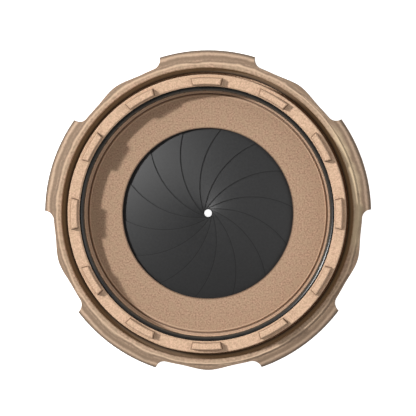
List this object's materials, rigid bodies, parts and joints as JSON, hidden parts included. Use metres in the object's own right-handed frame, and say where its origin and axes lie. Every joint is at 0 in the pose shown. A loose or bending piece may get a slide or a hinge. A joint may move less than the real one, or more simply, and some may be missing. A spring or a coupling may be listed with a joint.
{
  "type": "iris diaphragm",
  "caption": "Round push-on iris diaphragm: castellated mouth with seal ring, lobed grip ring outside, and thin overlapping leaves that close to a pinhole.",
  "frame": {"origin": "on the optical axis, at the seat that the objective's rim rests on inside the mouth", "axes": "+Z is the optical axis, out of the mouth; +X and +Y are the picture's right and up"},
  "size_m": [0.0558, 0.0547, 0.0114],
  "materials": {
    "tan_polymer": "matt sandy tan, fine grain",
    "tan_plate": "matt sandy tan, fine grain",
    "tan_grip": "matt sandy tan, coarse grain",
    "seal_rubber": "smooth black rubber",
    "leaf_black": "matt black",
    "cam_alloy": "matt black anodised",
    "glide_plastic": "white low-friction plastic",
    "steel": "dark spring steel"
  },
  "bodies": {
    "mount": {"housing": "tan_polymer", "base_plate": "tan_plate", "seal_ring": "seal_rubber", "stop_pin": "steel"},
    "ring": {"grip_ring": "tan_grip", "cam_plate": "cam_alloy", "glide_ring": "glide_plastic", "retaining_ring": "tan_grip"},
    "leaf_01": {"blade_01": "leaf_black"},
    "leaf_02": {"blade_02": "leaf_black"},
    "leaf_03": {"blade_03": "leaf_black"},
    "leaf_04": {"blade_04": "leaf_black"},
    "leaf_05": {"blade_05": "leaf_black"},
    "leaf_06": {"blade_06": "leaf_black"},
    "leaf_07": {"blade_07": "leaf_black"},
    "leaf_08": {"blade_08": "leaf_black"},
    "leaf_09": {"blade_09": "leaf_black"},
    "leaf_10": {"blade_10": "leaf_black"},
    "leaf_11": {"blade_11": "leaf_black"},
    "leaf_12": {"blade_12": "leaf_black"},
    "leaf_13": {"blade_13": "leaf_black"},
    "leaf_14": {"blade_14": "leaf_black"}
  },
  "joints": [
    {"name": "grip_turn", "type": "hinge", "parent": "mount", "child": "ring", "pos_m": [0, 0, 0], "axis": [0, 0, -1], "range_deg": [0, 50]},
    {"name": "leaf_01_swing", "type": "hinge", "parent": "mount", "child": "leaf_01", "pos_m": [0.01778, 0.00283, -0.001], "axis": [0, 0, -1], "range_deg": [0, 46.01]},
    {"name": "leaf_02_swing", "type": "hinge", "parent": "mount", "child": "leaf_02", "pos_m": [0.01479, 0.01026, -0.001], "axis": [0, 0, -1], "range_deg": [0, 46.01]},
    {"name": "leaf_03_swing", "type": "hinge", "parent": "mount", "child": "leaf_03", "pos_m": [0.00887, 0.01566, -0.001], "axis": [0, 0, -1], "range_deg": [0, 46.01]},
    {"name": "leaf_04_swing", "type": "hinge", "parent": "mount", "child": "leaf_04", "pos_m": [0.0012, 0.01796, -0.001], "axis": [0, 0, -1], "range_deg": [0, 46.01]},
    {"name": "leaf_05_swing", "type": "hinge", "parent": "mount", "child": "leaf_05", "pos_m": [-0.00671, 0.0167, -0.001], "axis": [0, 0, -1], "range_deg": [0, 46.01]},
    {"name": "leaf_06_swing", "type": "hinge", "parent": "mount", "child": "leaf_06", "pos_m": [-0.01329, 0.01214, -0.001], "axis": [0, 0, -1], "range_deg": [0, 46.01]},
    {"name": "leaf_07_swing", "type": "hinge", "parent": "mount", "child": "leaf_07", "pos_m": [-0.01724, 0.00517, -0.001], "axis": [0, 0, -1], "range_deg": [0, 46.01]},
    {"name": "leaf_08_swing", "type": "hinge", "parent": "mount", "child": "leaf_08", "pos_m": [-0.01778, -0.00283, -0.001], "axis": [0, 0, -1], "range_deg": [0, 46.01]},
    {"name": "leaf_09_swing", "type": "hinge", "parent": "mount", "child": "leaf_09", "pos_m": [-0.01479, -0.01026, -0.001], "axis": [0, 0, -1], "range_deg": [0, 46.01]},
    {"name": "leaf_10_swing", "type": "hinge", "parent": "mount", "child": "leaf_10", "pos_m": [-0.00887, -0.01566, -0.001], "axis": [0, 0, -1], "range_deg": [0, 46.01]},
    {"name": "leaf_11_swing", "type": "hinge", "parent": "mount", "child": "leaf_11", "pos_m": [-0.0012, -0.01796, -0.001], "axis": [0, 0, -1], "range_deg": [0, 46.01]},
    {"name": "leaf_12_swing", "type": "hinge", "parent": "mount", "child": "leaf_12", "pos_m": [0.00671, -0.0167, -0.001], "axis": [0, 0, -1], "range_deg": [0, 46.01]},
    {"name": "leaf_13_swing", "type": "hinge", "parent": "mount", "child": "leaf_13", "pos_m": [0.01329, -0.01214, -0.001], "axis": [0, 0, -1], "range_deg": [0, 46.01]},
    {"name": "leaf_14_swing", "type": "hinge", "parent": "mount", "child": "leaf_14", "pos_m": [0.01724, -0.00517, -0.001], "axis": [0, 0, -1], "range_deg": [0, 46.01]}
  ],
  "couplings": [
    {"joint": "leaf_01_swing", "follows": "grip_turn", "ratio": 0.92005},
    {"joint": "leaf_02_swing", "follows": "grip_turn", "ratio": 0.92005},
    {"joint": "leaf_03_swing", "follows": "grip_turn", "ratio": 0.92005},
    {"joint": "leaf_04_swing", "follows": "grip_turn", "ratio": 0.92005},
    {"joint": "leaf_05_swing", "follows": "grip_turn", "ratio": 0.92005},
    {"joint": "leaf_06_swing", "follows": "grip_turn", "ratio": 0.92005},
    {"joint": "leaf_07_swing", "follows": "grip_turn", "ratio": 0.92005},
    {"joint": "leaf_08_swing", "follows": "grip_turn", "ratio": 0.92005},
    {"joint": "leaf_09_swing", "follows": "grip_turn", "ratio": 0.92005},
    {"joint": "leaf_10_swing", "follows": "grip_turn", "ratio": 0.92005},
    {"joint": "leaf_11_swing", "follows": "grip_turn", "ratio": 0.92005},
    {"joint": "leaf_12_swing", "follows": "grip_turn", "ratio": 0.92005},
    {"joint": "leaf_13_swing", "follows": "grip_turn", "ratio": 0.92005},
    {"joint": "leaf_14_swing", "follows": "grip_turn", "ratio": 0.92005}
  ]
}
